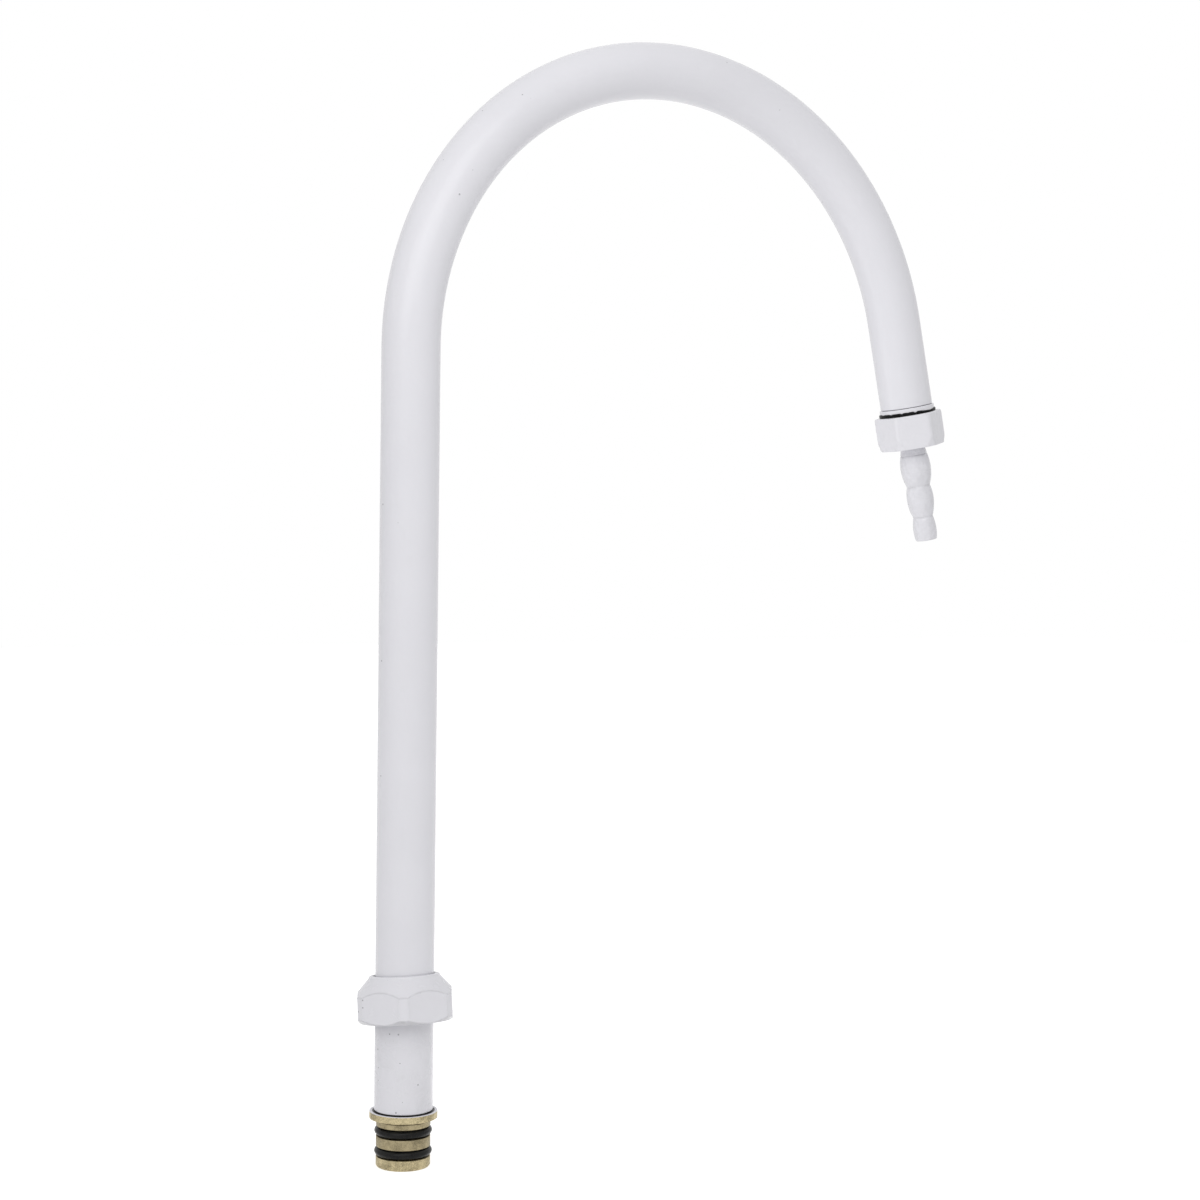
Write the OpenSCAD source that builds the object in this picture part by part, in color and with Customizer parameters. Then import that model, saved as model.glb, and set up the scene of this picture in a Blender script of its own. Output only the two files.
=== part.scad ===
// Swan-neck spout of a laboratory tap: a bent tube on a swivel spigot, with a loose union nut
// and a screwed-on hose nozzle. Sizes are in millimetres. The origin is on the spigot's axis at
// the underside of its flange, where the spout sits on the tap. +Z is up, +X is towards the outlet.

/* [Spout tube] */
// Outside diameter of the tube, over its coating
tube_od = 19; // [16:0.1:26]
// Wall of the tube, with its coating
tube_wall = 1.15; // [0.8:0.05:2]
// Straight length of the riser, from its lower end to the bend
riser_len = 246; // [120:1:400]
// Radius of the bend, at the middle of the tube
bend_r = 100; // [60:1:160]
// Angle that the tube is bent through
bend_angle = 168; // [120:1:180]
// Straight length from the bend to the outlet end
drop_len = 31.4; // [18:0.1:80]

/* [Swivel spigot] */
// Diameter of the spigot
spigot_d = 17.6; // [15:0.1:24]
// How far the flange stands out past the tube, or past the O-rings if they are wider
flange_lip = 1.5; // [0.8:0.1:3]
// Thickness of the flange
flange_t = 2.2; // [1.5:0.1:4]
// Depth of the groove round the spigot's root, which lets the flange sit flat
root_relief = 0.3; // [0.1:0.05:0.8]
// Length of the spigot between the flange and the upper O-ring groove
top_land = 2.5; // [1:0.05:5]
// Length of the spigot between the two grooves
mid_land = 3.35; // [1:0.05:8]
// Length of the spigot below the lower groove
nose_land = 3.4; // [2:0.05:8]
// Bevel at the spigot's lower edge
nose_bevel = 0.5; // [0.2:0.1:1]
// Brass left between an O-ring groove and the waterway
groove_wall = 1.5; // [1:0.1:3]
// Length of the shank that is brazed into the tube
shank_len = 12; // [6:0.5:20]
// Least wall of the shank round the waterway
shank_wall = 1.6; // [1:0.1:3]

/* [O-rings] */
// Thickness of the rubber of each spigot ring
ring_cord = 2.65; // [1.8:0.05:3.5]
// How far a ring stands out of the spigot
ring_proud = 0.55; // [0.2:0.05:0.8]
// Extra width of a groove beside its ring
groove_room = 0.6; // [0.3:0.1:1.2]

/* [Union nut] */
// Height of the nut
nut_h = 15; // [11:0.1:20]
// Wall between the nut's thread and its flats
nut_wall = 1.78; // [1.2:0.02:4]
// Metal between the end of the nut's thread and the upper bevel over it
nut_lip_wall = 1.7; // [1:0.1:4]
// How far the upper bevel reaches in over the thread
nut_crown_in = 2.37; // [1.5:0.01:2.8]
// Slope of the upper bevel
nut_crown_angle = 48; // [30:1:52]
// Slope of the lower bevel over the corners
nut_foot_angle = 40; // [20:1:50]
// How far the lower bevel reaches in from the flats
nut_foot_w = 0.3; // [0.1:0.1:1]
// How much the nut's corners are rounded off
nut_corner_cut = 0.8; // [0.2:0.1:1.5]
// Height of the nut's underside above the flange
nut_lift = 29; // [10:1:100]
// Turn of the nut on the tube
nut_turn = 1.5; // [0:0.5:60]
// Lean of the loose nut, which hangs on the tube because it stands askew
nut_lean = 6.5; // [0:0.5:8]
// Room between the flange and the root of the nut's thread
nut_thread_room = 2.22; // [1.8:0.01:4]
// Thickness of the slip ring under the lip
slip_t = 2; // [1:0.1:4]

/* [Outlet bush] */
// Outside diameter of the outlet thread
outlet_thread_d = 16.66; // [13:0.01:20]
// Depth of the outlet thread
outlet_thread_depth = 0.86; // [0.5:0.01:1.2]
// Wall of the bush round the waterway
bush_wall = 2.8; // [1.5:0.1:3.5]
// How far the bush's rim stands out past the tube
rim_lip = 0.5; // [0.2:0.05:2]
// Thickness of the rim
rim_t = 1.4; // [0.5:0.1:3]
// Thickness of the black seal between the rim and the collar
seal_t = 1.15; // [0.8:0.05:3]
// Width of the seal, from its bore to its edge
seal_w = 1.95; // [1.5:0.05:4]

/* [Nozzle collar] */
// Height of the collar
collar_h = 12.3; // [9:0.1:20]
// Wall between the collar's thread and its flats
collar_wall = 2.52; // [1.5:0.02:5]
// Thickness of the collar's end, which holds the nozzle
collar_web_t = 2.5; // [1.5:0.1:4]
// Slope of the upper bevel over the collar's corners
collar_crown_angle = 50; // [20:1:60]
// How far the upper bevel reaches in from the rounded corners
collar_crown_w = 0.6; // [0.2:0.1:1.2]
// Slope of the lower bevel over the collar's corners
collar_foot_angle = 75; // [30:1:78]
// How far the lower bevel reaches in from the rounded corners
collar_foot_w = 0.8; // [0.2:0.1:1.2]
// How much the collar's corners are rounded off
collar_corner_cut = 0.3; // [0.1:0.05:1]
// Turn of the collar on the bush
collar_turn = 28.5; // [0:0.5:60]

/* [Hose nozzle] */
// Thickness of the nozzle's flange inside the collar
nozzle_flange_t = 1.6; // [1:0.1:3]
// How far the flange overlaps the collar's end
nozzle_ledge = 0.78; // [0.5:0.01:2]
// Thickness of the flat washer above the flange
washer_t = 1.5; // [0.8:0.1:3]
// How far the nozzle's shoulder stands out under the collar
shoulder_proud = 0.4; // [0.2:0.1:3]
// Length of the neck from the shoulder to the first olive
neck_len = 2.6; // [0.5:0.1:4]
// How much the neck is thinner than the start of the first olive
neck_taper = 1.2; // [0.2:0.1:1.6]
// Greatest diameter of the first olive
olive_d = 11.2; // [10:0.1:12.5]
// How much each olive is thinner than the one before
olive_step = 1.3; // [0.5:0.01:1.8]
// How much the nozzle is drawn in at the start of an olive
olive_dip = 1.3; // [0.6:0.02:2]
// Length of a whole olive
olive_len = 11.6; // [8:0.1:18]
// Length of the last olive, which is cut off short
last_olive_len = 8.7; // [7:0.1:11]
// Number of olives
olive_count = 3; // [2:1:4]
// Wall of the nozzle at its tip
nozzle_wall = 1.4; // [0.8:0.1:2]

/* [Fits] */
// Radial gap of a brazed joint
braze_gap = 0.05; // [0.02:0.01:0.15]
// Thickness of the seam at the tube's lower end
spigot_seam_t = 0.3; // [0.1:0.05:1]
// Thickness of the seam at the tube's outlet end
bush_seam_t = 0.15; // [0.05:0.05:1]
// How far a seam lies in from the tube's outside
seam_inset = 0.35; // [0.1:0.05:0.8]
// Radial gap between the tube and the slip ring
slide_gap = 0.1; // [0.05:0.01:0.3]
// Radial gap between the tube and the nut's lip
lip_gap = 0.15; // [0.1:0.05:0.5]
// Radial gap between a loose ring and the bore that it lies in
ring_room = 0.2; // [0.1:0.05:0.5]
// Gap between two faces that turn or slide on each other
face_gap = 0.05; // [0.02:0.01:0.1]
// Radial gap between the outlet thread and the collar
thread_gap = 0.15; // [0.05:0.01:0.3]
// Radial gap between the nozzle's shoulder and the collar
turn_gap = 0.1; // [0.05:0.01:0.3]

/* [Hidden] */
$fn = 96;
// Allowance by which a cutting shape reaches past the face that it cuts
over = 1;
// How far the tube's straight end laps into the bend, and how much wider its radius is
lap = 0.05;
lap_step = 0.002;
// Sides of a nut
nut_sides = 6;
tube_id = tube_od - 2 * tube_wall;
shank_d = tube_id - 2 * braze_gap;

// Spigot and its rings
rings_od = spigot_d + 2 * ring_proud;
flange_d = max(tube_od, rings_od) + 2 * flange_lip;
groove_w = ring_cord + groove_room;
groove_floor_d = rings_od - 2 * ring_cord;
spigot_len = top_land + 2 * groove_w + mid_land + nose_land;
upper_groove_z = -top_land - groove_w / 2;
lower_groove_z = upper_groove_z - groove_w - mid_land;
spigot_waterway_d = min(groove_floor_d - 2 * groove_wall, shank_d - 2 * shank_wall);
root_relief_d = rings_od + 2 * ring_room;

// Union nut and slip ring
nut_thread_d = flange_d + 2 * nut_thread_room;
nut_af = nut_thread_d + 2 * nut_wall;
nut_crown_d = nut_thread_d - 2 * nut_crown_in;
nut_lip_t = nut_crown_in * tan(nut_crown_angle) + nut_lip_wall;
slip_od = nut_thread_d - 2 * ring_room;

// The lip and the slip ring grip the tube over this height. The nut leans about the middle of it,
// so both bores are wide enough for the tube to pass through them at a slant.
nut_grip = nut_lip_t + face_gap + slip_t;
nut_pivot_z = flange_t + nut_lift + nut_h - nut_grip / 2;
slant_d = tube_od / cos(nut_lean) + nut_grip * tan(nut_lean);
nut_lip_d = slant_d + 2 * lip_gap;
slip_id = slant_d + 2 * slide_gap;

// Tube
tube_z = flange_t + spigot_seam_t;
bend_z = tube_z + riser_len;
outlet_x = bend_r * (1 - cos(bend_angle)) + drop_len * sin(bend_angle);
outlet_z = bend_z + bend_r * sin(bend_angle) + drop_len * cos(bend_angle);

// Heights at the outlet, measured down from the tube's end along the outlet's axis
rim_top = bush_seam_t;
rim_end = rim_top + rim_t;
collar_top = rim_end + seal_t + face_gap;
collar_end = collar_top + collar_h;
nozzle_seat = collar_end - collar_web_t - face_gap;
washer_end = nozzle_seat - nozzle_flange_t;
bush_end = washer_end - washer_t - face_gap;
shoulder_end = collar_end + shoulder_proud;
olives_top = shoulder_end + neck_len;

// Diameters at the outlet
bush_waterway_d = min(outlet_thread_d, shank_d) - 2 * bush_wall;
rim_d = max(tube_od, outlet_thread_d) + 2 * rim_lip;
seal_id = outlet_thread_d + 2 * ring_room;
collar_bore_d = outlet_thread_d + 2 * thread_gap;
collar_af = collar_bore_d + 2 * collar_wall;
collar_corner_r = blunt_r(collar_af, collar_corner_cut);
nozzle_flange_d = outlet_thread_d - 2 * outlet_thread_depth - 2 * ring_room;
shoulder_d = nozzle_flange_d - 2 * nozzle_ledge;
collar_hole_d = shoulder_d + 2 * turn_gap;

// An olive's side is one arc. It rises from the dip before it, and falls to the dip after it.
olive_rise = olive_dip / 2;
olive_fall = (olive_dip + olive_step) / 2;
olive_arc_r = pow(olive_len / (sqrt(olive_rise) + sqrt(olive_fall)), 2) / 2;
olive_crest = sqrt(2 * olive_arc_r * olive_rise);
last_olive_d = olive_d - (olive_count - 1) * olive_step;
tip_drop = pow(last_olive_len - olive_crest, 2) / olive_arc_r;
nozzle_bore_d = last_olive_d - tip_drop - 2 * nozzle_wall;
nozzle_len = olives_top + (olive_count - 1) * olive_len + last_olive_len;

// Puts a shape at the outlet, with its origin at the tube's end and the outlet pointing down.
module at_outlet() {
    translate([outlet_x, 0, outlet_z])
        rotate([0, bend_angle - 180, 0])
            children();
}

// Puts a shape on the tube with the nut's lean. Its origin is at the middle of the nut's underside.
module at_nut() {
    translate([0, 0, nut_pivot_z])
        rotate([-nut_lean, 0, 0])
            translate([0, 0, nut_grip / 2 - nut_h])
                children();
}

// A flat ring that stands on its lower face.
module ring(od, id, h) {
    difference() {
        cylinder(d = od, h = h);
        translate([0, 0, -over])
            cylinder(d = id, h = h + 2 * over);
    }
}

// A ring of round rubber in a groove at the given height.
module o_ring(z) {
    translate([0, 0, z])
        rotate_extrude()
            translate([(rings_od - ring_cord) / 2, 0])
                circle(d = ring_cord);
}

// A solid run along the middle of the tube, which reaches past both of its ends by extra. The
// straight end laps into the bend and is a hair wider, so that the two make one solid.
module tube_run(d, extra) {
    translate([0, 0, tube_z - extra])
        cylinder(d = d, h = riser_len + extra);
    translate([bend_r, 0, bend_z])
        rotate([90, 0, 0])
            mirror([1, 0, 0])
                rotate_extrude(angle = bend_angle)
                    translate([bend_r, 0])
                        circle(d = d);
    at_outlet()
        translate([0, 0, -extra])
            cylinder(d = d + 2 * lap_step, h = drop_len + extra + lap);
}

// The radius to which a hexagon's corners are rounded off.
function blunt_r(af, corner_cut) = af / cos(180 / nut_sides) / 2 - corner_cut;

// A hexagon block with its corners rounded off. One bevel runs down from crown_d at the top, and
// another one up from foot_d at the bottom.
module hexagon_block(af, h, corner_cut, crown_d, crown_slope, foot_d, foot_slope) {
    body_r = blunt_r(af, corner_cut);
    intersection() {
        cylinder(d = af / cos(180 / nut_sides), h = h, $fn = nut_sides);
        rotate_extrude()
            polygon([
                [0, 0],
                [foot_d / 2, 0],
                [body_r, (body_r - foot_d / 2) * tan(foot_slope)],
                [body_r, h - (body_r - crown_d / 2) * tan(crown_slope)],
                [crown_d / 2, h],
                [0, h]
            ]);
    }
}

// Half of the side view of one olive, from the nozzle's axis out to the arc.
module olive_profile(crest_d, len) {
    intersection() {
        translate([0, -len])
            square([crest_d, len]);
        translate([crest_d / 2 - olive_arc_r, -olive_crest])
            circle(r = olive_arc_r);
    }
}

module spout_tube() {
    color("white")
        difference() {
            tube_run(tube_od, 0);
            tube_run(tube_id, over);
        }
}

module swivel_spigot() {
    color("darkkhaki")
        difference() {
            union() {
                translate([0, 0, -spigot_len])
                    cylinder(d1 = spigot_d - 2 * nose_bevel, d2 = spigot_d, h = nose_bevel);
                translate([0, 0, nose_bevel - spigot_len])
                    cylinder(d = spigot_d, h = spigot_len - nose_bevel);
                cylinder(d = flange_d, h = flange_t);
                cylinder(d = shank_d, h = tube_z + shank_len);
            }
            for (z = [upper_groove_z, lower_groove_z])
                translate([0, 0, z - groove_w / 2])
                    ring(flange_d, groove_floor_d, groove_w);
            ring(root_relief_d, spigot_d, root_relief);
            translate([0, 0, -spigot_len - over])
                cylinder(d = spigot_waterway_d, h = spigot_len + tube_z + shank_len + 2 * over);
        }
}

module spigot_braze_ring() {
    color("dimgray")
        translate([0, 0, flange_t])
            ring(tube_od - 2 * seam_inset, shank_d + 2 * braze_gap, spigot_seam_t);
}

module upper_o_ring() {
    color("black")
        o_ring(upper_groove_z);
}

module lower_o_ring() {
    color("black")
        o_ring(lower_groove_z);
}

module union_nut() {
    color("white")
        at_nut()
            difference() {
                rotate([0, 0, nut_turn])
                    hexagon_block(nut_af, nut_h, nut_corner_cut, nut_crown_d, nut_crown_angle,
                        nut_af - 2 * nut_foot_w, nut_foot_angle);
                translate([0, 0, -over])
                    cylinder(d = nut_thread_d, h = nut_h - nut_lip_t + over);
                cylinder(d = nut_lip_d, h = nut_h + over);
            }
}

module slip_ring() {
    color("ivory")
        at_nut()
            translate([0, 0, nut_h - nut_grip])
                ring(slip_od, slip_id, slip_t);
}

module outlet_bush() {
    color("white")
        at_outlet()
            difference() {
                union() {
                    translate([0, 0, -rim_end])
                        cylinder(d = shank_d, h = rim_end + shank_len);
                    translate([0, 0, -rim_end])
                        cylinder(d = rim_d, h = rim_t);
                    translate([0, 0, -bush_end])
                        cylinder(d = outlet_thread_d, h = bush_end - rim_top);
                }
                translate([0, 0, -bush_end - over])
                    cylinder(d = bush_waterway_d, h = bush_end + shank_len + 2 * over);
            }
}

module bush_braze_ring() {
    color("dimgray")
        at_outlet()
            translate([0, 0, -rim_top])
                ring(tube_od - 2 * seam_inset, shank_d + 2 * braze_gap, bush_seam_t);
}

// The seal's outer edge bulges, because the collar presses it against the rim.
module outlet_seal() {
    color("black")
        at_outlet()
            translate([0, 0, -rim_end - seal_t / 2])
                rotate_extrude() {
                    translate([seal_id / 2, -seal_t / 2])
                        square([seal_w - seal_t / 2, seal_t]);
                    translate([seal_id / 2 + seal_w - seal_t / 2, 0])
                        circle(d = seal_t);
                }
}

module nozzle_collar() {
    color("white")
        at_outlet()
            translate([0, 0, -collar_end])
                difference() {
                    rotate([0, 0, collar_turn])
                        hexagon_block(collar_af, collar_h, collar_corner_cut,
                            2 * (collar_corner_r - collar_crown_w), collar_crown_angle,
                            2 * (collar_corner_r - collar_foot_w), collar_foot_angle);
                    translate([0, 0, collar_web_t])
                        cylinder(d = collar_bore_d, h = collar_h);
                    translate([0, 0, -over])
                        cylinder(d = collar_hole_d, h = collar_h);
                }
}

module nozzle_washer() {
    color("black")
        at_outlet()
            translate([0, 0, -washer_end])
                ring(nozzle_flange_d, bush_waterway_d, washer_t);
}

module hose_nozzle() {
    olive_start_d = olive_d - olive_dip;
    neck_d = olive_start_d - neck_taper;
    color("white")
        at_outlet()
            difference() {
                union() {
                    translate([0, 0, -nozzle_seat])
                        cylinder(d = nozzle_flange_d, h = nozzle_flange_t);
                    translate([0, 0, -shoulder_end])
                        cylinder(d = shoulder_d, h = shoulder_end - nozzle_seat);
                    translate([0, 0, -olives_top])
                        cylinder(d1 = olive_start_d, d2 = neck_d, h = olives_top - collar_end);
                    for (i = [0 : olive_count - 1])
                        translate([0, 0, -olives_top - i * olive_len])
                            rotate_extrude()
                                olive_profile(olive_d - i * olive_step,
                                    i < olive_count - 1 ? olive_len : last_olive_len);
                }
                translate([0, 0, -nozzle_len - over])
                    cylinder(d = nozzle_bore_d, h = nozzle_len + over);
            }
}

spout_tube();
swivel_spigot();
spigot_braze_ring();
upper_o_ring();
lower_o_ring();
union_nut();
slip_ring();
outlet_bush();
bush_braze_ring();
outlet_seal();
nozzle_collar();
nozzle_washer();
hose_nozzle();
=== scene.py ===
# Swan-neck spout of a laboratory tap: a white bent tube on a brass swivel spigot, with a loose
# union nut and a screwed-on hose nozzle. The pieces' sizes are written in millimetres, as on a
# drawing, and the room's in metres.
import math

import bpy
import bmesh
import numpy as np
from mathutils import Matrix, Vector


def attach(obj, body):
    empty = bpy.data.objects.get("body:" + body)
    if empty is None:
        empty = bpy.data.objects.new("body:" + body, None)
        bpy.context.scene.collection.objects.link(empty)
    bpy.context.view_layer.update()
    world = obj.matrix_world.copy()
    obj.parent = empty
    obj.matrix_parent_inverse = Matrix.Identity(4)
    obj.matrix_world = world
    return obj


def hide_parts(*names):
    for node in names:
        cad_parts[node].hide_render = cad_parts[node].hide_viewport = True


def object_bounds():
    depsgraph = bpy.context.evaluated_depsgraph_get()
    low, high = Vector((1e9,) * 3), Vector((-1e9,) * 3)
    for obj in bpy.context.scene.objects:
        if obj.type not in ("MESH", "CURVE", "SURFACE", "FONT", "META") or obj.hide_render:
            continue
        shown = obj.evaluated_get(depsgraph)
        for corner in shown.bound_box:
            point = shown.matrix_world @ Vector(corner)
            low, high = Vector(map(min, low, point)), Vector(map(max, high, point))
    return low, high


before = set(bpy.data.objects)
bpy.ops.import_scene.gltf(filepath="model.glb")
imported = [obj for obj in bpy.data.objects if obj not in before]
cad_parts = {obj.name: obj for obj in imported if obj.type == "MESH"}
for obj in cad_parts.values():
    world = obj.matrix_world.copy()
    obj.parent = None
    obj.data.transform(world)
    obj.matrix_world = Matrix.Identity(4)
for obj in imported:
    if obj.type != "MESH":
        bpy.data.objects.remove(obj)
cad_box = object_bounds()

# Camera. It stands to the left of square-on, at about half the spout's height, and looks slightly
# down. The lens is long, so the tube hardly gets thinner from the riser to the outlet.
LENS_MM = 67.8
SENSOR_MM = 36
NEAREST_SEEN = 0.01
VIEW_TURN = math.radians(31.64)
VIEW_TILT = math.radians(-0.99)
VIEW_ROLL = math.radians(0.66)
CAMERA_PLACE = Vector((-0.3294, -0.6522, 0.1804))

look = Vector((
    math.sin(VIEW_TURN) * math.cos(VIEW_TILT),
    math.cos(VIEW_TURN) * math.cos(VIEW_TILT),
    math.sin(VIEW_TILT),
))
level_right = Vector((math.cos(VIEW_TURN), -math.sin(VIEW_TURN), 0))
level_up = level_right.cross(look)
right = level_right * math.cos(VIEW_ROLL) + level_up * math.sin(VIEW_ROLL)
up = level_up * math.cos(VIEW_ROLL) - level_right * math.sin(VIEW_ROLL)

camera = bpy.data.objects.new("camera", bpy.data.cameras.new("camera"))
camera.data.lens = LENS_MM
camera.data.sensor_width = SENSOR_MM
camera.data.clip_start = NEAREST_SEEN
turned_to = Matrix((right, up, -look)).transposed().to_4x4()
camera.matrix_world = Matrix.Translation(CAMERA_PLACE) @ turned_to
bpy.context.scene.collection.objects.link(camera)
bpy.context.scene.camera = camera
bpy.context.scene.view_settings.view_transform = "Standard"

# Floor and light. A white table in a white room: the walls light the spout evenly. One soft box
# stands on the left, one hangs in front, and two white cards, on the table and behind the riser,
# throw light on the inner side of the bend.
WHITE = (1, 1, 1, 1)
FLOOR_SIDE = 8.0
FLOOR_GAP = 0.0001
FLOOR_WHITE = (0.9, 0.9, 0.9, 1)
FLOOR_ROUGHNESS = 0.9
FLOOR_GLOW = 0.62
ROOM_FILL = 0.58
ROOM_SEEN = 1.0
CARD_LIFT = 0.001


def feed(tree, value, socket):
    """Gives a socket its value: a link from another socket, or else a number or a colour."""
    if isinstance(value, bpy.types.NodeSocket):
        tree.links.new(value, socket)
    else:
        socket.default_value = value


def add_node(tree, kind, **settings):
    """A node with its settings. Those of its sockets come in one dict, sockets."""
    node = tree.nodes.new("ShaderNode" + kind)
    for socket, value in settings.pop("sockets", {}).items():
        node.inputs[socket].default_value = value
    for setting, value in settings.items():
        setattr(node, setting, value)
    return node


def math_of(tree, operation, a, b):
    """One sum, product or comparison of two sockets or numbers."""
    node = add_node(tree, "Math", operation=operation)
    feed(tree, a, node.inputs[0])
    feed(tree, b, node.inputs[1])
    return node.outputs[0]


def new_material(name):
    """A new material, its node tree and its shader."""
    material = bpy.data.materials.new(name)
    material.use_nodes = True
    return material, material.node_tree, material.node_tree.nodes["Principled BSDF"]


def seen_by_eye(tree):
    """A mask that is 1 for what the camera sees straight, in a mirror or through glass."""
    path = add_node(tree, "LightPath")
    mask = path.outputs["Is Camera Ray"]
    for ray in ("Is Glossy Ray", "Is Transmission Ray"):
        mask = math_of(tree, "MAXIMUM", mask, path.outputs[ray])
    return mask


room = bpy.data.worlds.new("white_room")
bpy.context.scene.world = room
room.use_nodes = True
tree = room.node_tree
walls = tree.nodes["Background"]
walls.inputs["Color"].default_value = WHITE
level = add_node(tree, "MapRange", sockets={"To Min": ROOM_FILL, "To Max": ROOM_SEEN})
tree.links.new(seen_by_eye(tree), level.inputs["Value"])
tree.links.new(level.outputs["Result"], walls.inputs["Strength"])

table_paint, tree, matt = new_material("white_table")
matt.inputs["Base Color"].default_value = FLOOR_WHITE
matt.inputs["Roughness"].default_value = FLOOR_ROUGHNESS
matt.inputs["Specular IOR Level"].default_value = 0.0
matt.inputs["Emission Color"].default_value = WHITE
glow = math_of(tree, "MULTIPLY", seen_by_eye(tree), FLOOR_GLOW)
tree.links.new(glow, matt.inputs["Emission Strength"])

half = FLOOR_SIDE / 2
floor_z = cad_box[0][2] - FLOOR_GAP
floor_corners = [(x * half, y * half, floor_z) for x, y in ((-1, -1), (1, -1), (1, 1), (-1, 1))]
floor_mesh = bpy.data.meshes.new("floor")
floor_mesh.from_pydata(floor_corners, [], [(0, 1, 2, 3)])
floor_mesh.materials.append(table_paint)
floor = bpy.data.objects.new("floor", floor_mesh)
bpy.context.scene.collection.objects.link(floor)

for name, place, aim, width, height, watts in (
    ("left_box", (-0.95, -0.7, 0.75), (0.05, 0, 0.22), 0.7, 0.7, 2.8),
    ("front_box", (-0.17, -0.51, 0.62), (0.15, 0, 0.22), 0.45, 0.45, 1.2),
    ("table_card", (0.17, 0, floor_z + CARD_LIFT), (0.17, 0, 0.3), 0.2, 0.4, 0.1),
    ("riser_card", (0.035, 0.03, 0.19), (0.2, 0, 0.21), 0.1, 0.14, 0.036),
):
    lamp = bpy.data.lights.new(name, "AREA")
    lamp.shape = "RECTANGLE"
    lamp.size = width
    lamp.size_y = height
    lamp.energy = watts
    stand = bpy.data.objects.new(name, lamp)
    stand.location = place
    stand.rotation_euler = (Vector(aim) - Vector(place)).to_track_quat("-Z", "Y").to_euler()
    stand.visible_camera = False
    bpy.context.scene.collection.objects.link(stand)

# Spout tube. Brass tube, bent on a former through 168 degrees and coated with white epoxy powder
# in an oven. The coat runs round both ends, shows a faint orange peel and a few baked-in specks.
MM = 0.001
TUBE_OD = 19.0
TUBE_ID = 16.7
TUBE_Z = 2.5
RISER_LEN = 246.0
BEND_R = 100.0
BEND_ANGLE = math.radians(168)
DROP_LEN = 31.4
TUBE_LIP = 0.35
LIP_MARGIN = 0.3
LIP_STEPS = 6
RISER_STEPS = 44
BEND_STEPS = 113
DROP_STEPS = 9
TUBE_SIDES = 112
COAT_WHITE = (0.795, 0.79, 0.83, 1)
COAT_SHADE = (0.78, 0.775, 0.815, 1)
COAT_ROUGHNESS = 0.25
COAT_RELIEF = 0.4
CLOUD_SCALE = 38.0
CLOUD_RANGE = (0.35, 0.7)
WAVE_SHARE = 1.5
SPECK_GREY = (0.16, 0.16, 0.17, 1)
SPECK_DEPTH = 0.55
SMUDGE_GREY = (0.60, 0.60, 0.615, 1)
SMUDGE_DEPTH = 0.2
SMUDGE_RANGE = (0.46, 0.72)
SMUDGE_FADE = 2.0
SMUDGE_DULLS = 0.15
# The grey of rubbed edges, also used as painted shade in gaps, creases and on a downward bevel.
RUB_AND_SHADE_GREY = (0.55, 0.55, 0.57, 1)
RUB_AND_SHADE_DEPTH = 0.55
RUB_AND_SHADE_RANGE = (0.25, 0.6)


def new_group(name, inputs, outputs):
    """A shader node group with named number sockets, and its input and output nodes."""
    group = bpy.data.node_groups.new(name, "ShaderNodeTree")
    for side, labels in (("INPUT", inputs), ("OUTPUT", outputs)):
        for label in labels:
            group.interface.new_socket(label, in_out=side, socket_type="NodeSocketFloat")
    return group, group.nodes.new("NodeGroupInput"), group.nodes.new("NodeGroupOutput")


def texture_at(tree, kind, scale, **settings):
    """A texture laid in the piece's own coordinates. Its scale is a number or a socket."""
    texture = add_node(tree, kind, **settings)
    at = add_node(tree, "TexCoord")
    tree.links.new(at.outputs["Object"], texture.inputs["Vector"])
    feed(tree, scale, texture.inputs["Scale"])
    return texture


def place_in(tree):
    """The sockets X, Y and Z of a point in the piece's own coordinates."""
    at = add_node(tree, "TexCoord")
    parts = add_node(tree, "SeparateXYZ")
    tree.links.new(at.outputs["Object"], parts.inputs["Vector"])
    return parts.outputs


def ramp(tree, source, low, high):
    """A soft step from 0 at low to 1 at high."""
    step = add_node(tree, "MapRange", interpolation_type="SMOOTHSTEP",
                    sockets={"From Min": low, "From Max": high})
    tree.links.new(source, step.inputs["Value"])
    return step.outputs["Result"]


def tint(tree, mask, base, over, depth=1):
    """The colour base where the mask is 0, and as much of the colour over as depth says where it is 1."""
    if depth != 1:
        mask = math_of(tree, "MULTIPLY", mask, depth)
    mix = add_node(tree, "Mix", data_type="RGBA")
    tree.links.new(mask, mix.inputs["Factor"])
    for label, colour in (("A", base), ("B", over)):
        feed(tree, colour, [s for s in mix.inputs if s.name == label and s.type == "RGBA"][0])
    return [s for s in mix.outputs if s.type == "RGBA"][0]


def roughen(tree, shader, mask, smooth, dull):
    """Roughness that is smooth where the mask is 0, and dull where it is 1."""
    spread = add_node(tree, "MapRange", sockets={"To Min": smooth, "To Max": dull})
    tree.links.new(mask, spread.inputs["Value"])
    tree.links.new(spread.outputs["Result"], shader.inputs["Roughness"])


def emboss(tree, shader, height, strength, depth):
    """Relief of a given strength, where a height of 1 stands for depth in millimetres."""
    bump = add_node(tree, "Bump", sockets={"Strength": strength, "Distance": depth * MM})
    tree.links.new(height, bump.inputs["Height"])
    tree.links.new(bump.outputs["Normal"], shader.inputs["Normal"])


# Relief of a baked powder coat: a fine orange peel on a slow, low wave.
peel, peel_in, peel_out = new_group("orange_peel", ["Peel Scale", "Wave Scale"], ["Height"])
fine = texture_at(peel, "TexNoise", peel_in.outputs["Peel Scale"], sockets={"Detail": 0.0})
slow = texture_at(peel, "TexNoise", peel_in.outputs["Wave Scale"], sockets={"Detail": 1.0})
wave = math_of(peel, "MULTIPLY", slow.outputs["Fac"], WAVE_SHARE)
peel.links.new(math_of(peel, "ADD", fine.outputs["Fac"], wave), peel_out.inputs["Height"])

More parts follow.
